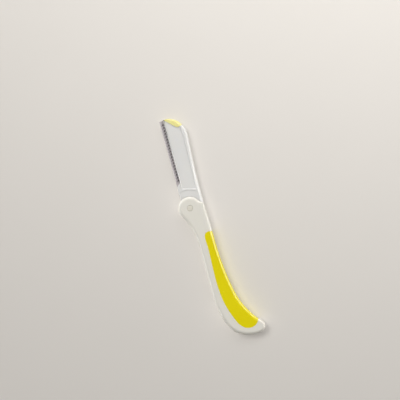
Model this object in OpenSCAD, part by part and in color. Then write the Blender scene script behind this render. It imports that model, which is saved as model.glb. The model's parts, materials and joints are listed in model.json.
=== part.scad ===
// Folding eyebrow razor: a curved handle with a soft yellow grip, and a guarded blade head that
// folds into the slot in the handle's side. It lies on the flat rear face of the handle.
// X runs from the tail to the tip of the head, Y towards the cutting edge, and Z to the front face.

/* [Handle] */
// Distance from the pivot to the furthest point of the tail
handle_reach = 72.6; // [66:0.1:84]
// How far the end of the tail drops below the pivot
tail_drop = 23; // [20:0.1:26]
// Thickness of the handle from face to face
handle_t = 6.4; // [5.8:0.1:8]
// Radius of the round ears at the pivot
ear_r = 6.2; // [5.8:0.1:6.6]
// Height of the handle's rounded edges
handle_round = 1.5; // [1.3:0.1:1.8]
// Width of the rounding along the edge side
edge_round_w = 1.9; // [1.4:0.1:2.1]
// Width of the rounding about the tight end of the tail
tail_round_w = 1.3; // [1:0.1:1.5]
// Width of the rounding along the back, where the palm lies
back_round_w = 2.6; // [1.9:0.1:2.8]
// Wall of the hollow tail
tail_wall = 1.6; // [1.2:0.1:2.2]

/* [Slot and pivot] */
// Width of the slot that the head folds into
slot_w = 3.8; // [3.6:0.1:4]
// Free space between the folded cutting edge and the bottom of the slot
edge_gap = 1.3; // [0.8:0.1:1.6]
// Free space between the tip of the folded head and the end of the slot
slot_end_gap = 1.4; // [0.8:0.1:2]
// Radius of the two round pivot studs on the head
stud_r = 1.5; // [1.2:0.05:1.8]
// Radial clearance of the studs in the ears
stud_gap = 0.05; // [0.02:0.01:0.1]
// Bevel at the mouth of each pivot hole and on each stud
stud_bevel = 0.16; // [0.05:0.01:0.25]
// Clearance between parts that move past each other
run_gap = 0.3; // [0.2:0.05:0.4]

/* [Grip inlay] */
// Thickness of the soft grip let into the handle
grip_t = 0.65; // [0.4:0.05:0.8]

/* [Head] */
// Distance from the pivot to the tip of the head
head_reach = 48.7; // [46:0.1:50]
// Distance from the pivot down to the head's back
spine_drop = 7.7; // [7.4:0.1:8.2]
// How far the handle's shoulder, where the open head stops, lies beyond the pivot
shoulder_x = 1; // [0.6:0.1:1.6]
// Thickness of the head at its back
head_t = 3.4; // [3:0.1:3.5]
// Thickness of the head beside the guard
lip_t = 2.4; // [2.2:0.1:2.8]
// Thickness of the tongue between the ears
tongue_t = 2.2; // [1.8:0.1:2.6]
// Thickness of the head across the pads that guide it between the ears
pad_t = 3.56; // [3.4:0.02:3.7]
// Height of the head's rounded back
head_round = 1.5; // [1:0.1:1.6]
// Width of the rounding along the head's back
head_round_w = 2; // [1.5:0.1:2.2]
// Depth of the flat panel sunk into each face of the head
panel_depth = 0.3; // [0.1:0.05:0.4]
// Radius of the round relief in the neck, about the pivot
relief_r = 9.7; // [9:0.1:10]
// Depth of that relief
relief_depth = 0.15; // [0.1:0.01:0.3]
// Thickness of the yellow cap let into the tip
tip_t = 0.6; // [0.4:0.05:0.7]

/* [Blade and guard] */
// Length of the guard along the cutting edge
guard_l = 35.5; // [32:0.1:36]
// Width of the guard that shows beside the head
guard_w = 2.05; // [1.6:0.05:2.4]
// Height of the cutting edge over the pivot, at the guard's lower end
edge_rise = 3.7; // [3.5:0.1:4]
// Angle of the cutting edge to the length of the head
edge_tilt = 1.1; // [0.5:0.1:2]
// Thickness of the guard's steel foil
foil_t = 0.15; // [0.1:0.01:0.2]
// Thickness of the blade
blade_t = 0.3; // [0.2:0.05:0.4]
// Width of the blade from its cutting edge to its back
blade_w = 7.6; // [6.5:0.1:8]
// Distance from one window of the guard to the next
window_pitch = 1.6; // [1.4:0.1:2]
// Radius of the round end of each window
window_r = 0.46; // [0.4:0.02:0.62]
// Width of the slit that runs from each window to the cutting edge
slit_w = 0.26; // [0.16:0.02:0.4]

/* [Hidden] */
$fn = 64;

// Overrun that carries every cut past the surface it opens
over = 1;
// Reach of the plain blocks that halve or trim a shape
far = 2 * handle_reach;
half_t = handle_t / 2;
slot_half = slot_w / 2;
head_half = head_t / 2;
// Steps of each smooth outline between two of its points, and of each rounded edge
curve_steps = 3;
round_steps = 4;

// The handle's outline, as shares of the handle's reach and the tail's drop. The edge side runs
// from the ear to the end of the tail, and the back runs from there to the shoulder.
edge_side_shares = [[0.058, 0.207], [0.096, 0.145], [0.15, 0.083], [0.211, 0.036], [0.262, 0.011],
    [0.331, 0.002], [0.441, 0.004], [0.551, 0], [0.647, -0.004], [0.716, -0.02], [0.785, -0.054],
    [0.854, -0.113], [0.913, -0.2], [0.959, -0.326], [0.988, -0.504], [1, -0.696], [0.999, -0.852],
    [0.988, -0.945], [0.97, -0.992], [0.946, -1], [0.919, -0.955], [0.89, -0.865]];
back_shares = [[0.854, -0.775], [0.771, -0.626], [0.689, -0.53], [0.592, -0.467], [0.496, -0.42],
    [0.386, -0.385], [0.275, -0.37], [0.165, -0.363], [0.09, -0.352]];
// Where the ear's round rim starts, near the shoulder, and where it ends, in degrees
ear_from = -66;
ear_to = 112;
ear_steps = 18;

// The grip's inner border on the face, as shares of the same two sizes
grip_shares = [[0.203, -0.42], [0.196, -0.32], [0.195, -0.262], [0.202, -0.205], [0.22, -0.172],
    [0.25, -0.163], [0.33, -0.175], [0.45, -0.164], [0.56, -0.163], [0.63, -0.174], [0.69, -0.196],
    [0.745, -0.232], [0.8, -0.285], [0.853, -0.35], [0.9, -0.42], [0.928, -0.5],
    [0.945, -0.595], [0.947, -0.7], [0.935, -0.8], [0.908, -0.875], [0.87, -0.93]];

// The back and tip of the head, as shares of the head's reach and the spine's drop
spine_shares = [[0.09, -0.995], [0.205, -0.987], [0.33, -0.992], [0.45, -1.01],
    [0.575, -1.038], [0.7, -1.075], [0.785, -1.097], [0.83, -1.078], [0.871, -1.008],
    [0.908, -0.89], [0.94, -0.73], [0.967, -0.53], [0.987, -0.3], [0.998, -0.08], [1, 0.13],
    [0.997, 0.3]];
// The neck on the edge side, as shares of the guard's start and the edge's rise
neck_shares = [[0.98, 1.02], [0.87, 1.04], [0.69, 1.015], [0.52, 0.98], [0.42, 0.95], [0.34, 0.9]];

// Sweep of the slot
end_bite = 0.55;
guard_start = head_reach - (guard_l + end_bite) * cos(edge_tilt);
slot_reach = head_reach + slot_end_gap;
edge_far = edge_rise + guard_l * sin(edge_tilt);
slot_floor = -(edge_far + edge_gap);

// Heel on the head's back, which rests on the handle's shoulder when the razor is open. Under the
// ears the head thins to its tongue, a little inside their rims.
heel_x = shoulder_x + run_gap;
slot_r = ear_r + run_gap;
step_r = ear_r - run_gap;
tongue_r = ear_r - run_gap / 2;
spine_flat_share = 0.74;

// A smooth run through hand-set points
function curve_point(a, b, c, d, t) =
    (2 * b + (c - a) * t + (2 * a - 5 * b + 4 * c - d) * t * t + (3 * b - a - 3 * c + d) * t * t * t) / 2;
function curve(p) = concat(
    [for (i = [0:len(p) - 2]) for (k = [0:curve_steps - 1])
        curve_point(p[max(i - 1, 0)], p[i], p[i + 1], p[min(i + 2, len(p) - 1)], k / curve_steps)],
    [p[len(p) - 1]]);
function scaled(shares, x, y) = [for (s = shares) [s[0] * x, s[1] * y]];

// Each outline runs anticlockwise, so the left of its travel points into the part
function inward(p, i) =
    let (run = p[min(i + 1, len(p) - 1)] - p[max(i - 1, 0)]) [-run[1], run[0]] / norm(run);
function inset(p, d) = [for (i = [0:len(p) - 1]) p[i] + inward(p, i) * (is_list(d) ? d[i] : d)];
function at_height(p, z) = [for (q = p) [q[0], q[1], z]];

// Handle outline from the shoulder round the ear to the tail and back to the shoulder
ear_arc = [for (k = [0:ear_steps])
    let (a = ear_from + (ear_to - ear_from) * k / ear_steps) ear_r * [cos(a), sin(a)]];
handle_curve = curve(concat(scaled(edge_side_shares, -handle_reach, tail_drop),
    scaled(back_shares, -handle_reach, tail_drop)));
handle_outline = concat(ear_arc, handle_curve, [[shoulder_x, -spine_drop]]);
// Width of the rounding at each of its points: the edge side's, the tail's, and then the back's
round_fade_shares = [0.46, 0.56, 0.66, 0.78];
handle_widths = concat([for (p = ear_arc) edge_round_w],
    [for (k = [0:len(handle_curve) - 1])
        lookup(k / len(handle_curve),
            [[round_fade_shares[0], edge_round_w], [round_fade_shares[1], tail_round_w],
            [round_fade_shares[2], tail_round_w], [round_fade_shares[3], back_round_w]])],
    [back_round_w]);

// Head outline from the heel along the back, round the tip, down the lip and the neck
head_curve = concat([[heel_x, -spine_drop]], curve(scaled(spine_shares, head_reach, spine_drop)));
corner_angle = 50;
lip_low = on_edge([guard_w * cos(corner_angle) / sin(corner_angle), -guard_w]);
lip_high = on_edge([guard_l, -guard_w]);
neck_curve = curve(scaled(neck_shares, guard_start, edge_rise));
head_outline = concat(head_curve, [lip_high, lip_low], neck_curve, [[heel_x, -step_r / 2]]);
lip_round_share = 0.22;
tip_round_share = 0.08;
neck_round_share = 0.75;
// Where the rounding fades from the back to the lip, as shares of the spine's drop, and along the neck
tip_fade_shares = [-0.2, 0.15, 0.3];
neck_fade_shares = [0.05, 0.4, 0.8, 0.94];
head_widths = head_round_w * concat(
    [for (p = head_curve)
        lookup(p[1] / spine_drop, [[tip_fade_shares[0], 1], [tip_fade_shares[1], lip_round_share],
            [tip_fade_shares[2], tip_round_share]])],
    [tip_round_share, lip_round_share],
    [for (k = [0:len(neck_curve) - 1])
        lookup(k / len(neck_curve),
            [[neck_fade_shares[0], lip_round_share], [neck_fade_shares[1], neck_round_share],
            [neck_fade_shares[2], neck_round_share], [neck_fade_shares[3], 0]])],
    [0]);

// A point given along the cutting edge from the guard's lower end, and outwards from that edge
function on_edge(p) = [guard_start + p[0] * cos(edge_tilt) - p[1] * sin(edge_tilt),
    edge_rise + p[0] * sin(edge_tilt) + p[1] * cos(edge_tilt)];

// The row's origin lies under the middle of the open razor
origin_x = (head_reach - handle_reach) / 2;
origin_y = (ear_r + min([for (p = handle_outline) p[1]])) / 2;

module placed() {
    translate([-origin_x, -origin_y, half_t])
        children();
}

// Front and rear pieces are drawn upwards from the joint between them
module rear() {
    mirror([0, 0, 1])
        children();
}

// A flat cap over an anticlockwise outline, as triangles cut off one corner at a time
function turn(a, b, c) = (b[0] - a[0]) * (c[1] - a[1]) - (b[1] - a[1]) * (c[0] - a[0]);
function holds(a, b, c, q) = turn(a, b, q) >= 0 && turn(b, c, q) >= 0 && turn(c, a, q) >= 0;
function corner(left, k) = let (m = len(left)) [left[(k + m - 1) % m], left[k], left[(k + 1) % m]];
function is_free(p, t, left) = turn(p[t[0]], p[t[1]], p[t[2]]) > 0
    && len([for (q = left) if (len(search(q, t)) == 0 && holds(p[t[0]], p[t[1]], p[t[2]], p[q])) q]) == 0;
function free_corner(p, left, k = 0) =
    k == len(left) - 1 || is_free(p, corner(left, k), left) ? k : free_corner(p, left, k + 1);
function cap(p, left) = len(left) == 3 ? [left] :
    let (k = free_corner(p, left))
        concat([corner(left, k)], cap(p, [for (i = [0:len(left) - 1]) if (i != k) left[i]]));

module loft(rings) {
    n = len(rings[0]);
    top = (len(rings) - 1) * n;
    walls = [for (k = [0:len(rings) - 2]) for (i = [0:n - 1])
        let (a = k * n + i, b = k * n + (i + 1) % n) each [[a, a + n, b + n], [a, b + n, b]]];
    bottom_cap = cap(rings[0], [for (i = [0:n - 1]) i]);
    top_cap = cap(rings[len(rings) - 1], [for (i = [0:n - 1]) i]);
    polyhedron(points = [for (r = rings) each r],
        faces = concat(bottom_cap, walls, [for (t = top_cap) [top + t[2], top + t[1], top + t[0]]]));
}

// Half of a plate with a rounded edge, cut off flat at the joint
module rounded_half(outline, widths, t, r) {
    rim = [for (k = [0:round_steps]) let (a = 90 * k / round_steps)
        at_height(inset(outline, widths * (1 - cos(a))), t - r + r * sin(a))];
    difference() {
        loft(concat([at_height(outline, -over)], rim));
        translate([-far, -far, -2 * over])
            cube([2 * far, 2 * far, 2 * over]);
    }
}

module handle_half() {
    rounded_half(handle_outline, handle_widths, half_t, handle_round);
}

// Plan of the space that the head and its tongue sweep and fold into
module slot_plan() {
    circle(r = slot_r);
    polygon([[far, far], [-slot_reach, far], [-slot_reach, slot_floor], [shoulder_x, slot_floor],
        [shoulder_x, -spine_drop - tail_drop], [far, -spine_drop - tail_drop]]);
}

// Inside of the tail, within its wall
tail_start = slot_reach + tail_wall;
rib_t = 1;
rib_share = 0.42;
hollow_end_share = 0.8;
hollow_outline = [for (q = inset(handle_outline, tail_wall + grip_t))
    if (q[1] > -tail_drop * hollow_end_share) q];
// Pegs that join the two halves of the handle
peg_r = 0.6;
peg_l = 1.3;
peg_gap = 0.05;
tail_peg_r = 0.9;
tail_boss_r = 1.9;
peg_shares = [0.13, 0.36, 0.56];
tail_peg_share = 0.66;
tail_peg_drop_share = 0.52;
back_line = scaled(back_shares, -handle_reach, tail_drop);
peg_places = [for (s = peg_shares)
    let (x = -s * handle_reach) [x, (slot_floor + lookup(x, back_line) + grip_t) / 2]];
tail_peg = [-tail_start - (handle_reach - tail_start) * tail_peg_share, -tail_drop * tail_peg_drop_share];

module tail_hollow() {
    difference() {
        intersection() {
            translate([0, 0, -over])
                linear_extrude(slot_half + over)
                    polygon(hollow_outline);
            translate([-far - tail_start, -far, -over])
                cube([far, 2 * far, far]);
        }
        translate([-tail_start - (handle_reach - tail_start) * rib_share, -far, -over])
            cube([rib_t, 2 * far, far]);
        translate([tail_peg[0], tail_peg[1], -over])
            cylinder(r = tail_boss_r, h = far);
    }
}

module pegs(gap) {
    for (p = peg_places)
        translate(p)
            cylinder(r = peg_r + gap, h = peg_l + gap);
    translate(tail_peg)
        cylinder(r = tail_peg_r + gap, h = peg_l + gap);
}

module grip_plan() {
    polygon(concat(curve(scaled(grip_shares, -handle_reach, tail_drop)),
        [[-handle_reach, -2 * tail_drop], [0, -2 * tail_drop]]));
}

// What stays of half a rounded plate under a skin, in steps that follow the rounding. The end
// points close an outline that isn't rounded all round.
core_angles = [20, 50, 85];
module stepped_core(outline, widths, ends, t, r, skin) {
    for (a = core_angles)
        translate([0, 0, -over])
            linear_extrude(over + t - r + (r - skin) * sin(a))
                polygon(concat(inset(outline, [for (w = widths) w * (1 - cos(a)) + skin * cos(a)]), ends));
}

module grip_core() {
    stepped_core(handle_outline, handle_widths, [], half_t, handle_round, grip_t);
}

module grip_half() {
    difference() {
        intersection() {
            handle_half();
            translate([0, 0, -over])
                linear_extrude(handle_t)
                    grip_plan();
        }
        grip_core();
    }
}

module handle_shell() {
    difference() {
        handle_half();
        difference() {
            translate([0, 0, -over])
                linear_extrude(handle_t)
                    grip_plan();
            grip_core();
        }
        translate([0, 0, -over])
            linear_extrude(slot_half + over)
                slot_plan();
        tail_hollow();
        cylinder(r = stud_r + stud_gap, h = handle_t);
        translate([0, 0, half_t - stud_bevel])
            cylinder(r1 = stud_r + stud_gap, r2 = stud_r + stud_gap + stud_bevel + over, h = stud_bevel + over);
    }
}

module handle_front_shell() {
    color("ghostwhite")
        placed()
            difference() {
                handle_shell();
                pegs(peg_gap);
            }
}

module handle_rear_shell() {
    color("whitesmoke")
        placed() {
            rear()
                handle_shell();
            pegs(0);
        }
}

module grip_inlay() {
    color("gold")
        placed() {
            grip_half();
            rear()
                grip_half();
        }
}

// The faces of the head slope from its back towards the cutting edge
spine_flat = -spine_drop * spine_flat_share;
lip_y = edge_rise - guard_w;
face_slope = (head_t - lip_t) / 2 / (lip_y - spine_flat);
wedge_y = 2 * ear_r;
module face_wedge(skin) {
    translate([-far, 0, 0])
        rotate([90, 0, 90])
            linear_extrude(2 * far)
                polygon([[-far, -over], [wedge_y, -over],
                    [wedge_y, head_half - skin - face_slope * (wedge_y - spine_flat)],
                    [spine_flat, head_half - skin], [-far, head_half - skin]]);
}

module head_half_solid() {
    intersection() {
        rounded_half(head_outline, head_widths, head_half, head_round);
        face_wedge(0);
    }
}

// Border of the yellow cap on the face, closed beyond the tip, as shares of the head's two sizes
tip_plan_shares = [[0.991, 0.21], [0.893, -0.46], [0.884, -0.6], [0.891, -0.8], [0.91, -1],
    [0.95, -2], [2, -2], [2, 0.21]];
module tip_plan() {
    polygon(scaled(tip_plan_shares, head_reach, spine_drop));
}

// What stays of the head under the yellow cap
module tip_core() {
    intersection() {
        stepped_core(head_curve, [for (k = [0:len(head_curve) - 1]) head_widths[k]],
            [[heel_x, edge_rise]], head_half, head_round, tip_t);
        face_wedge(tip_t);
    }
}

module tip_half() {
    difference() {
        intersection() {
            head_half_solid();
            translate([0, 0, -over])
                linear_extrude(handle_t)
                    tip_plan();
        }
        tip_core();
    }
}

// Flat panel sunk into the face, from the neck to the tip
panel_plan_shares = [[0.228, 0.13], [0.194, -0.74], [0.77, -0.797], [0.884, -0.735], [1.1, 0]];
lip_band = 0.55;
module panel_plan() {
    polygon(concat(scaled(panel_plan_shares, head_reach, spine_drop),
        [on_edge([guard_l + 2 * over, -guard_w - lip_band]), on_edge([0, -guard_w - lip_band])]));
}

module panel_cut() {
    difference() {
        linear_extrude(handle_t)
            panel_plan();
        face_wedge(panel_depth);
    }
}

// Round relief in the face of the neck, about the pivot
module relief_cut() {
    difference() {
        cylinder(r = relief_r, h = handle_t);
        face_wedge(relief_depth);
    }
}

// The blade lies in the joint between the halves of the head
root_w = 1.4;
blade_inset = 0.32;
blade_low_end = 0.5;
blade_tip_end = 0.9;
blade_peg_r = 0.8;
blade_peg_l = 0.9;
foil_gap = 0.1;
foil_out = blade_t / 2 + foil_gap + foil_t;
tip_wall = 0.5;
seat_gap = 0.05;
blade_peg_shares = [0.14, 0.5, 0.86];

module along_edge() {
    translate([guard_start, edge_rise, 0])
        rotate([0, 0, edge_tilt])
            children();
}

module blade_pegs(gap, h) {
    for (s = blade_peg_shares)
        along_edge()
            translate([guard_l * s, -blade_w + 2 * blade_peg_r + blade_inset])
                cylinder(r = blade_peg_r + gap, h = h);
}

// Inside the head, the blade and the guard's roots stop at a wall behind the yellow cap
module head_room(gap) {
    translate([0, 0, -over])
        linear_extrude(handle_t)
            polygon(concat(inset(head_curve, tip_t + tip_wall - gap),
                [[head_reach + over, lip_high[1] - gap], [head_reach + over, far], [heel_x, far]]));
}

module blade_seat() {
    blade_l = guard_l - blade_low_end - blade_tip_end;
    intersection() {
        along_edge() {
            translate([blade_low_end - seat_gap, -blade_w - seat_gap])
                cube([blade_l + 2 * seat_gap, blade_w + 2 * seat_gap, blade_t / 2]);
            translate([-seat_gap, -guard_w - root_w - seat_gap])
                cube([guard_l + 2 * seat_gap, guard_w + root_w + 2 * seat_gap, foil_out]);
        }
        head_room(seat_gap);
    }
}

// Pads on the tongue leave a channel for the stud between them
pad_r = ear_r - 2 * run_gap;
pad_front = 3.2;
pad_rear = 2.7;
channel_w = 4.2;
module pads() {
    difference() {
        intersection() {
            cylinder(r = pad_r, h = pad_t / 2);
            translate([-pad_rear, -far, 0])
                cube([pad_front + pad_rear, 2 * far, pad_t]);
        }
        translate([-far, -channel_w / 2, 0])
            cube([2 * far, channel_w, pad_t]);
    }
}

module head_shell() {
    difference() {
        union() {
            difference() {
                head_half_solid();
                difference() {
                    translate([0, 0, -over])
                        linear_extrude(handle_t)
                            tip_plan();
                    tip_core();
                }
                cylinder(r = step_r, h = handle_t);
                panel_cut();
                relief_cut();
            }
            intersection() {
                linear_extrude(tongue_t / 2)
                    polygon(inset(head_outline, run_gap));
                cylinder(r = step_r + run_gap, h = tongue_t);
            }
            cylinder(r = tongue_r, h = tongue_t / 2);
            pads();
            cylinder(r = stud_r, h = half_t - stud_bevel);
            translate([0, 0, half_t - stud_bevel])
                cylinder(r1 = stud_r, r2 = stud_r - stud_bevel, h = stud_bevel);
        }
        blade_seat();
    }
}

module head_front_shell() {
    color("aliceblue")
        placed()
            difference() {
                head_shell();
                blade_pegs(peg_gap, blade_peg_l + peg_gap);
            }
}

module head_rear_shell() {
    color("azure")
        placed() {
            rear()
                head_shell();
            translate([0, 0, -blade_t / 2])
                blade_pegs(0, blade_t / 2 + blade_peg_l);
        }
}

module tip_inlay() {
    color("khaki")
        placed() {
            tip_half();
            rear()
                tip_half();
        }
}

// Thin steel strip with a bevel ground on both faces of its edge
bevel_w = 1.1;
edge_flat = 0.04;
module blade_section() {
    polygon([[-blade_w, -blade_t / 2], [-bevel_w - blade_inset, -blade_t / 2],
        [-blade_inset, -edge_flat / 2], [-blade_inset, edge_flat / 2],
        [-bevel_w - blade_inset, blade_t / 2], [-blade_w, blade_t / 2]]);
}

module blade() {
    color("silver")
        placed()
            difference() {
                intersection() {
                    along_edge()
                        translate([blade_low_end, 0, 0])
                            rotate([90, 0, 90])
                                linear_extrude(guard_l - blade_low_end - blade_tip_end)
                                    blade_section();
                    head_room(0);
                }
                translate([0, 0, -over])
                    blade_pegs(peg_gap, 2 * over);
            }
}

// Folded foil with a row of windows, each with a slanting slit that reaches round the edge
window_y = 0.44;
slit_slant = 22;
fold_r = foil_out;
module guard_section() {
    difference() {
        union() {
            translate([-guard_w - root_w, -foil_out])
                square([guard_w + root_w - fold_r, 2 * foil_out]);
            translate([-fold_r, 0])
                circle(r = fold_r);
        }
        translate([-guard_w - root_w - over, -foil_out + foil_t])
            square([guard_w + root_w - fold_r + over, 2 * (foil_out - foil_t)]);
        translate([-fold_r, 0])
            circle(r = fold_r - foil_t);
    }
}

window_count = floor((guard_l - 2 * window_pitch) / window_pitch);
window_first = (guard_l - (window_count - 1) * window_pitch) / 2 + window_r;
module windows() {
    for (k = [0:window_count - 1])
        translate([window_first + k * window_pitch, -guard_w + window_y, -over]) {
            cylinder(r = window_r, h = 2 * over);
            rotate([0, 0, slit_slant])
                translate([-slit_w / 2, 0, 0])
                    cube([slit_w, guard_w, 2 * over]);
        }
}

module blade_guard() {
    color("lightslategray")
        placed()
            intersection() {
                along_edge()
                    difference() {
                        rotate([90, 0, 90])
                            linear_extrude(guard_l)
                                guard_section();
                        windows();
                    }
                head_room(0);
            }
}

handle_front_shell();
handle_rear_shell();
grip_inlay();
head_front_shell();
head_rear_shell();
blade();
blade_guard();
tip_inlay();
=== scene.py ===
import json
import math

import bmesh
import bpy
from mathutils import Matrix, Vector


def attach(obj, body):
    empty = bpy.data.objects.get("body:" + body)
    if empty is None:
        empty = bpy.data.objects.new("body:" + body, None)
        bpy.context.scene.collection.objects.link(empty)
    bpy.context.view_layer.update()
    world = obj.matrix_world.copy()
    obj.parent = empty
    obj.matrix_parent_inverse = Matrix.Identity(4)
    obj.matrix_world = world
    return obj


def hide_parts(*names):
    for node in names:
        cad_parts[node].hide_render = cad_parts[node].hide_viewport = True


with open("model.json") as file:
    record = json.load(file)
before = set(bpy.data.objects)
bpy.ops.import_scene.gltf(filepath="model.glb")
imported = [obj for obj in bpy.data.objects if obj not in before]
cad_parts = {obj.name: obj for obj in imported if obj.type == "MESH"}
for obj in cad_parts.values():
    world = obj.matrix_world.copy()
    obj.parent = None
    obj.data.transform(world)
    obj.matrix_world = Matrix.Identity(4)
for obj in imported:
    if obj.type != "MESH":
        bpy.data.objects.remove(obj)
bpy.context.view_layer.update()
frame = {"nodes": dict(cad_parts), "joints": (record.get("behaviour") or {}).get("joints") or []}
mm = 0.001

# Where the photograph puts the razor: seen from straight above, its head up and to the left
photo = {
    "width": 400,                  # pixels, square
    "mmPerPixel": 0.53,
    "pivotPixel": (190.0, 208.3),
    "tilt": 14.5,                  # degrees between the razor's length and the picture's upright
    "cameraHeight": 900,           # mm
    "clipStart": 10,               # mm
    "sensor": 36,                  # mm
}
pivot = Vector(frame["joints"][0]["pos_m"])
tilt = math.radians(photo["tilt"])
pictureRight = Vector((-math.sin(tilt), -math.cos(tilt), 0))
pictureUp = Vector((math.cos(tilt), -math.sin(tilt), 0))


def placeInPicture(right, up, height):
    # mm to the right of the picture's middle, mm up from it, and mm over the floor
    middle = photo["width"] / 2
    across = (middle - photo["pivotPixel"][0]) * photo["mmPerPixel"] + right
    along = (photo["pivotPixel"][1] - middle) * photo["mmPerPixel"] + up
    ground = pivot + pictureRight * across * mm + pictureUp * along * mm
    return Vector((ground.x, ground.y, height * mm))


# Small tools for objects and materials

def makeActive(piece):
    for other in bpy.context.selected_objects:
        other.select_set(False)
    piece.select_set(True)
    bpy.context.view_layer.objects.active = piece


def applyModifiers(piece):
    makeActive(piece)
    for modifier in list(piece.modifiers):
        bpy.ops.object.modifier_apply(modifier=modifier.name)


def linearColour(hexCode):
    parts = [int(hexCode[i:i + 2], 16) / 255 for i in (1, 3, 5)]
    return [p / 12.92 if p <= 0.04045 else ((p + 0.055) / 1.055) ** 2.4 for p in parts] + [1.0]


def addNode(tree, kind, settings=None, links=None):
    # settings go to the node's sockets or to its own properties, links are socket: source
    node = tree.nodes.new(kind)
    for name, value in (settings or {}).items():
        if name in node.inputs:
            node.inputs[name].default_value = value
        else:
            setattr(node, name, value)
    for name, source in (links or {}).items():
        tree.links.new(source, node.inputs[name])
    return node


def startMaterial(name):
    material = bpy.data.materials.new(name)
    material.use_nodes = True
    tree = material.node_tree
    tree.nodes.clear()
    place = addNode(tree, "ShaderNodeTexCoord").outputs["Object"]
    return material, tree, place


def endMaterial(tree, shader):
    addNode(tree, "ShaderNodeOutputMaterial", links={"Surface": shader.outputs["BSDF"]})


def dress(piece, material):
    piece.data.materials.clear()
    piece.data.materials.append(material)


# Patterns: each noise has its detail and roughness, each ramp the noise values that it lies between

noiseGrain = {"cloud": (3.0, 0.5), "rub": (4.0, 0.6), "peel": (2.0, 0.5), "lines": (3.0, 0.65),
              "board": (2.0, 0.5)}
rampEnds = {"plastic": (0.35, 0.65), "steel": (0.3, 0.7), "board": (0.0, 1.0)}
glossEnds = (0.3, 0.7)


def addNoise(tree, vector, kind, sizeInMm):
    # on Object coordinates, so that its features measure sizeInMm
    detail, roughness = noiseGrain[kind]
    noise = addNode(tree, "ShaderNodeTexNoise",
                    {"Scale": 1 / (sizeInMm * mm), "Detail": detail, "Roughness": roughness},
                    {"Vector": vector})
    return noise.outputs["Fac"]


def addRamp(tree, factor, kind, shade, colour):
    ramp = addNode(tree, "ShaderNodeValToRGB", links={"Fac": factor})
    for element, end, tone in zip(ramp.color_ramp.elements, rampEnds[kind], (shade, colour)):
        element.position = end
        element.color = linearColour(tone)
    return ramp.outputs["Color"]


def addGloss(tree, factor, roughness):
    gloss = addNode(tree, "ShaderNodeMapRange",
                    {"From Min": glossEnds[0], "From Max": glossEnds[1],
                     "To Min": roughness[0], "To Max": roughness[1]},
                    {"Value": factor})
    return gloss.outputs["Result"]


def addBump(tree, height, depth, strength):
    bump = addNode(tree, "ShaderNodeBump", {"Strength": strength, "Distance": depth * mm},
                   {"Height": height})
    return bump.outputs["Normal"]


# Materials

redDepth = (1.0, 0.8, 0.6)   # red light reaches furthest into the plastic


def shadeStudEnds(tree, place, colour, stud):
    # painted shade on the studs' ends, which sit in the ears' holes: darker and a little warmer
    # than the rest of the head
    flat = addNode(tree, "ShaderNodeVectorMath", {"operation": "MULTIPLY"}, {"Vector": place})
    flat.inputs[1].default_value = (1, 1, 0)
    reach = addNode(tree, "ShaderNodeVectorMath", {"operation": "DISTANCE"},
                    {0: flat.outputs["Vector"]})
    reach.inputs[1].default_value = (pivot.x, pivot.y, 0)
    mask = addNode(tree, "ShaderNodeMapRange",
                   {"From Min": (stud["radius"] + stud["soft"]) * mm,
                    "From Max": stud["radius"] * mm},
                   {"Value": reach.outputs["Value"]})
    mixed = addNode(tree, "ShaderNodeMixRGB",
                    links={"Fac": mask.outputs["Result"], "Color1": colour})
    mixed.inputs["Color2"].default_value = linearColour(stud["colour"])
    return mixed.outputs["Color"]


def mouldedPlastic(name, look):
    # moulded in a polished tool: an even gloss, faint flow clouds and a very slight orange peel
    material, tree, place = startMaterial(name)
    cloud = addNoise(tree, place, "cloud", look["cloudSize"])
    colour = addRamp(tree, cloud, "plastic", look["shade"], look["colour"])
    # painted shade on the studs' ends
    if "stud" in look:
        colour = shadeStudEnds(tree, place, colour, look["stud"])
    rub = addNoise(tree, place, "rub", look["rubSize"])
    peel = addNoise(tree, place, "peel", look["peelSize"])
    shader = addNode(tree, "ShaderNodeBsdfPrincipled",
                     {"IOR": look["ior"],
                      "Coat Weight": look["coat"][0], "Coat Roughness": look["coat"][1],
                      "Subsurface Weight": look["depthLight"],
                      "Subsurface Radius": redDepth, "Subsurface Scale": look["depth"] * mm},
                     {"Base Color": colour, "Roughness": addGloss(tree, rub, look["roughness"]),
                      "Normal": addBump(tree, peel, look["peelDepth"], look["peelStrength"])})
    endMaterial(tree, shader)
    return material


def rolledSteel(name, look):
    # rolled strip: a metal with fine lines along the roll, drawn some times coarser than they are
    material, tree, place = startMaterial(name)
    turned = addNode(tree, "ShaderNodeMapping", {"Scale": (look["lineStretch"], 1.0, 1.0)},
                     {"Vector": place})
    lines = addNoise(tree, turned.outputs["Vector"], "lines", look["lineWidth"])
    shader = addNode(tree, "ShaderNodeBsdfPrincipled", {"Metallic": 1.0},
                     {"Base Color": addRamp(tree, lines, "steel", look["shade"], look["colour"]),
                      "Roughness": addGloss(tree, lines, look["roughness"]),
                      "Normal": addBump(tree, lines, look["lineDepth"], look["lineStrength"])})
    endMaterial(tree, shader)
    return material


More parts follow.
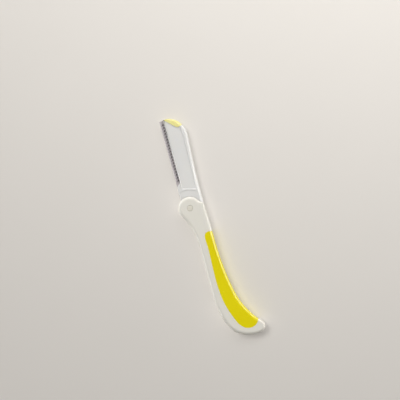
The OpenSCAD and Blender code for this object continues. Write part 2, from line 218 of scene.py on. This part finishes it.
# sizes and depths in mm, coat as its weight and roughness
whiteAbs = mouldedPlastic("polished ABS, white", {
    "colour": "#D7D4CB", "shade": "#D5D2C9",   # a white with a trace of cream
    "cloudSize": 22, "rubSize": 6, "roughness": (0.2, 0.24),
    "peelSize": 1.4, "peelDepth": 0.006, "peelStrength": 0.1,
    "ior": 1.53, "coat": (0.0, 0.03), "depthLight": 0.12, "depth": 0.6,
})
headAbs = mouldedPlastic("polished ABS, white with painted cool reflection", {
    "colour": "#D3D2CF", "shade": "#D1D0CE",   # the head is a shade cooler than the handle: partly its own white, partly a painted reflection of cool light on its polished panel
    # the studs' ends get painted shade, darker and warmer than the head
    "stud": {"radius": 1.5, "soft": 0.2, "colour": "#D0CCC0"},
    "cloudSize": 18, "rubSize": 6, "roughness": (0.16, 0.2),
    "peelSize": 1.4, "peelDepth": 0.006, "peelStrength": 0.1,
    "ior": 1.53, "coat": (0.0, 0.03), "depthLight": 0.12, "depth": 0.6,
})
gripTpe = mouldedPlastic("overmoulded TPE, yellow", {
    "colour": "#DACC00", "shade": "#D7C800",   # saturated yellow, softer gloss than the ABS
    "cloudSize": 16, "rubSize": 4, "roughness": (0.22, 0.28),
    "peelSize": 0.28, "peelDepth": 0.02, "peelStrength": 0.25,
    "ior": 1.5, "coat": (0.3, 0.26),           # its skin whitens the shine
    "depthLight": 0.05, "depth": 0.5,
})
tipPlastic = mouldedPlastic("moulded ABS, pale yellow", {
    "colour": "#E2DC98", "shade": "#DCD48C",   # paler than the grip
    "cloudSize": 8, "rubSize": 1.5, "roughness": (0.18, 0.26),
    "peelSize": 0.6, "peelDepth": 0.015, "peelStrength": 0.2,
    "ior": 1.53, "coat": (0.0, 0.03), "depthLight": 0.25, "depth": 0.8,
})
guardFoil = rolledSteel("stamped stainless foil", {
    "colour": "#D6D0D0", "shade": "#C4BEC0",   # grey with a trace of lavender
    "lineWidth": 0.12, "lineStretch": 0.06, "lineDepth": 0.01, "lineStrength": 0.2,
    "roughness": (0.68, 0.78),
})
bladeSteel = rolledSteel("hardened carbon steel strip", {
    "colour": "#A39B9E", "shade": "#8C8689",   # greyed by hardening and darkened further as painted shade, so that the foil's windows show dark over it; bright only where it is ground
    "lineWidth": 0.1, "lineStretch": 0.08, "lineDepth": 0.008, "lineStrength": 0.3,
    "roughness": (0.45, 0.55),
})
print("materials made:", len(bpy.data.materials))


# Pieces

bevelRoom = {
    "shareBevelled": 0.42,         # of the way to an edge that gets a bevel too
    "sharePlain": 0.85,            # of the way to any other edge
    "straightOn": 2,               # radians, from here on two bevelled edges run on as one
    "rays": (0.03, 0.27, 0.5, 0.73, 0.97),   # where they start, as shares of the edge
    "most": 1.0,                   # m, wider than any piece
}
# normals are compared by their z or y, which runs from -1 to 1
panelWall = {
    "outside": 0.5,                # mm from the middle of the head
    "floorNormal": 0.95,           # the panel is flatter than this
    "wallNormal": 0.3,             # its walls are steeper than this
    "landNormal": 0.5,             # the land over a wall is flatter than this
    "sideNormal": 0.5,             # a wall that faces further sideways is the lip's or the spine's
    "cornerLeast": 0.3,            # keeps a sharp corner from moving too far
}


def isOuterEdge(edge, sharpAngle):
    return len(edge.link_faces) == 2 and edge.is_convex and edge.calc_face_angle() > sharpAngle


def roomOn(face, edge, outer):
    # how wide a bevel the face holds: rays across it from the edge, and its neighbours' ends
    start, end = (v.co for v in edge.verts)
    along = (end - start).normalized()
    inwards = along.cross(face.normal)
    if (face.calc_center_median_weighted() - start).dot(inwards) < 0:
        inwards.negate()
    room = bevelRoom["most"]
    for other in face.edges:
        if other is edge:
            continue
        share = bevelRoom["shareBevelled" if other in outer else "sharePlain"]
        shared = set(other.verts) & set(edge.verts)
        first, last = ((v.co - start) for v in other.verts)
        if shared:
            corner = shared.pop()
            otherWay = other.other_vert(corner).co - corner.co
            turn = otherWay.angle(edge.other_vert(corner).co - corner.co, 0)
            if other not in outer or turn < bevelRoom["straightOn"]:
                room = min(room, share * max(first.dot(inwards), last.dot(inwards)))
            continue
        for part in bevelRoom["rays"]:
            spot = part * edge.calc_length()
            before, after = first.dot(along) - spot, last.dot(along) - spot
            if before * after < 0:
                reached = before / (before - after)
                away = first.dot(inwards) + (last - first).dot(inwards) * reached
                if away > 0:
                    room = min(room, share * away)
    return max(room, 0)


def findPanelWalls(shape):
    # the walls round the sunk panel, and the corners at their feet
    flats = [f for f in shape.faces
             if (f.calc_center_median().z - pivot.z) * f.normal.z > panelWall["outside"] * mm]
    widest = max(flats, key=lambda f: f.calc_area())
    panel = {widest} | {f for e in widest.edges for f in e.link_faces
                        if abs(f.normal.z) > panelWall["floorNormal"]}
    walls = {f for p in panel for e in p.edges if not e.is_convex
             for f in e.link_faces if abs(f.normal.z) < panelWall["wallNormal"]}
    return walls, {v for p in panel for v in p.verts}


def sideOf(way):
    if way.y > panelWall["sideNormal"]:
        return "lip"
    return "spine" if way.y < -panelWall["sideNormal"] else "neck"


def leanPanelWalls(shape, look):
    # the low walls round the sunk panel lean back, as far as the land beside them allows
    walls, feet = findPanelWalls(shape)
    moves = {}
    for wall in walls:
        for edge in wall.edges:
            lands = [f for f in edge.link_faces if abs(f.normal.z) > panelWall["landNormal"]]
            if lands and not set(edge.verts) & feet:
                normals = wall.normal.copy(), lands[0].normal.copy()
                for corner in edge.verts:
                    moves.setdefault(corner, []).append(normals)
    for corner, sides in moves.items():
        way = Vector()
        for wall, land in sides:
            way -= Vector((wall.x, wall.y, 0)) / len(sides)
        way /= max(way.length_squared, panelWall["cornerLeast"])
        fall = (land.x * way.x + land.y * way.y) / land.z
        corner.co += Vector((way.x, way.y, -fall)) * look["wallLean"][sideOf(way)] * mm
    for wall in walls:
        for edge in wall.edges:
            edge.smooth = edge.smooth and all(f in walls for f in edge.link_faces)
    print("panel walls leaned back:", len(walls))


def weighEdges(piece, look):
    # outer edges are bevelled where their faces have the room for it
    shape = bmesh.new()
    shape.from_mesh(piece.data)
    if "wallLean" in look:
        leanPanelWalls(shape, look)
        shape.normal_update()
    weights = shape.edges.layers.float.new("bevel_weight_edge")
    outer = {e for e in shape.edges if isOuterEdge(e, math.radians(look["sharp"]))}
    for edge in outer:
        roomy = min(roomOn(f, edge, outer) for f in edge.link_faces) >= look["edge"] * mm
        edge[weights] = 1.0 if roomy else 0.0
    shape.to_mesh(piece.data)
    shape.free()


def copyOfNode(node, name, look):
    # the CAD shape with its loose triangles joined, its flat faces whole and its edges softened
    piece = bpy.data.objects.new(name, frame["nodes"][node].data.copy())
    bpy.context.scene.collection.objects.link(piece)
    makeActive(piece)
    bpy.ops.mesh.customdata_custom_splitnormals_clear()
    bpy.ops.object.mode_set(mode="EDIT")
    bpy.ops.mesh.select_all(action="SELECT")
    bpy.ops.mesh.remove_doubles(threshold=look["join"] * mm)
    bpy.ops.mesh.dissolve_limited(angle_limit=math.radians(look["flat"]))
    bpy.ops.object.mode_set(mode="OBJECT")
    bpy.ops.object.shade_smooth()
    if look["edge"]:
        weighEdges(piece, look)
        edges = piece.modifiers.new("edges", "BEVEL")
        edges.width = look["edge"] * mm
        edges.segments = look["steps"]
        edges.limit_method = "WEIGHT"
        edges.use_clamp_overlap = False
        normals = piece.modifiers.new("normals", "WEIGHTED_NORMAL")
        normals.keep_sharp = True
    else:
        bpy.ops.object.shade_smooth_by_angle(angle=math.radians(look["sharp"]))
    applyModifiers(piece)
    return piece


# join, edge and wallLean in mm, flat and sharp in degrees
handleLook = {"join": 0.012, "flat": 0.6, "edge": 0.09, "steps": 2, "sharp": 38}
headLook = {"join": 0.012, "flat": 0.6, "edge": 0.08, "steps": 3, "sharp": 38,
            "wallLean": {"neck": 0.5, "lip": 0.4, "spine": 0.24}}
gripLook = {"join": 0.012, "flat": 0.6, "edge": 0.09, "steps": 2, "sharp": 38}
tipLook = {"join": 0.012, "flat": 0.6, "edge": 0.05, "steps": 2, "sharp": 38}
guardLook = {"join": 0.004, "flat": 0.6, "edge": 0, "sharp": 35}

plan = [
    ("handle_front_shell", "frontHandleShell", handleLook, whiteAbs, "handle", "white_handle"),
    ("handle_rear_shell", "rearHandleShell", handleLook, whiteAbs, "handle", "white_handle"),
    ("grip_inlay", "softGrip", gripLook, gripTpe, "handle", "yellow_grip"),
    ("head_front_shell", "frontHeadShell", headLook, headAbs, "head", "white_head"),
    ("head_rear_shell", "rearHeadShell", headLook, headAbs, "head", "white_head"),
    ("tip_inlay", "tipCap", tipLook, tipPlastic, "head", "yellow_tip"),
    ("blade_guard", "foilGuard", guardLook, guardFoil, "head", "guard_steel"),
]
for node, name, look, material, body, slotName in plan:
    piece = copyOfNode(node, name, look)
    dress(piece, material)
    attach(piece, body)
    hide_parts(node)
    print("made", name, "with", len(piece.data.polygons), "faces")
dress(frame["nodes"]["blade"], bladeSteel)


# Floor, light and camera

studio = {
    "floor": "#D8D4CF",
    "floorShade": "#D6D2CD",
    "floorGrain": 40,              # mm
    "floorRoughness": 0.9,
    "floorSpecular": 0.2,
    "floorSize": 3000,             # mm
    "floorDrop": 0.02,             # mm under the razor
    "world": "#F6F4F0",
    "worldStrength": 0.12,
    # right, up and height in mm, size in mm, watts, colour
    "lights": {
        "topBox": ((0, 460, 560), (900, 360), 0.7, "#FFFFFF"),
        "footBox": ((0, -560, 700), (700, 300), 0.1, "#FFFFFF"),
        "topStrip": ((0, 500, 205), (760, 125), 1.6, "#FFFFFF"),
        "leftStrip": ((-540, 60, 230), (200, 1000), 4.2, "#FFFFFF"),
        "rightStrip": ((500, 140, 300), (200, 800), 3.8, "#FFFEFC"),
        "floorFill": ((140, 400, 400), (500, 200), 2.9, "#FFFEFC"),
    },
    "razorOnly": ("topStrip", "leftStrip", "rightStrip"),
    "floorSun": {"place": (-420, 300, 800), "angle": 28, "strength": 1.1, "colour": "#FFFEFC"},
}


def makeAxes(x, y, z, spot):
    turned = Matrix((x, y, z)).transposed().to_4x4()
    return Matrix.Translation(spot) @ turned


def makeFloor():
    bpy.ops.mesh.primitive_plane_add(size=studio["floorSize"] * mm,
                                     location=(0, 0, -studio["floorDrop"] * mm))
    floor = bpy.context.object
    floor.name = "floor"
    material, tree, place = startMaterial("painted board, pale warm grey")   # matte, nearly even
    grain = addNoise(tree, place, "board", studio["floorGrain"])
    shader = addNode(tree, "ShaderNodeBsdfPrincipled",
                     {"Roughness": studio["floorRoughness"],
                      "Specular IOR Level": studio["floorSpecular"]},
                     {"Base Color": addRamp(tree, grain, "board",
                                            studio["floorShade"], studio["floor"])})
    endMaterial(tree, shader)
    dress(floor, material)


def placeLamp(light, place, colour):
    # aimed at the middle of the picture
    light.color = linearColour(colour)[:3]
    lamp = bpy.data.objects.new(light.name, light)
    bpy.context.scene.collection.objects.link(lamp)
    spot, aim = placeInPicture(*place), placeInPicture(0, 0, 0)
    back = (spot - aim).normalized()
    side = pictureUp.cross(back).normalized()
    lamp.matrix_world = makeAxes(side, back.cross(side), back, spot)
    return lamp


def makeLight(name, place, size, watts, colour):
    light = bpy.data.lights.new(name, "AREA")
    light.shape = "RECTANGLE"
    light.size, light.size_y = size[0] * mm, size[1] * mm
    light.energy = watts
    return placeLamp(light, place, colour)


def makeFloorSun():
    light = bpy.data.lights.new("floorSun", "SUN")
    light.energy = studio["floorSun"]["strength"]
    light.angle = math.radians(studio["floorSun"]["angle"])
    return placeLamp(light, studio["floorSun"]["place"], studio["floorSun"]["colour"])


def linkLights(lamps):
    # the strips light the razor alone, and a sun and a fill without shadows the floor: the floor
    # stays even from every side, and no shadow lies beside the blade, as in the photograph
    floorSet = bpy.data.collections.new("floorSet")
    floorSet.objects.link(bpy.data.objects["floor"])
    lamps["floorFill"].light_linking.receiver_collection = floorSet
    lamps["floorFill"].light_linking.blocker_collection = floorSet
    makeFloorSun().light_linking.receiver_collection = floorSet
    pieceSet = bpy.data.collections.new("pieceSet")
    pieceSet.objects.link(bpy.data.objects["floor"])
    pieceSet.collection_objects[0].light_linking.link_state = "EXCLUDE"
    for name in studio["razorOnly"]:
        lamps[name].light_linking.receiver_collection = pieceSet


def makeCamera():
    eye = bpy.data.cameras.new("camera")
    eye.sensor_width = photo["sensor"]
    eye.lens = photo["sensor"] * photo["cameraHeight"] / (photo["width"] * photo["mmPerPixel"])
    eye.clip_start = photo["clipStart"] * mm
    camera = bpy.data.objects.new("camera", eye)
    bpy.context.scene.collection.objects.link(camera)
    camera.matrix_world = makeAxes(pictureRight, pictureUp, Vector((0, 0, 1)),
                                   placeInPicture(0, 0, photo["cameraHeight"]))
    bpy.context.scene.camera = camera


def makeWorld():
    world = bpy.data.worlds.new("studio")
    bpy.context.scene.world = world
    world.use_nodes = True
    background = world.node_tree.nodes["Background"]
    background.inputs["Color"].default_value = linearColour(studio["world"])
    background.inputs["Strength"].default_value = studio["worldStrength"]


makeFloor()
linkLights({name: makeLight(name, *light) for name, light in studio["lights"].items()})
makeCamera()
makeWorld()
bpy.context.scene.view_settings.view_transform = "Standard"
print("studio set")
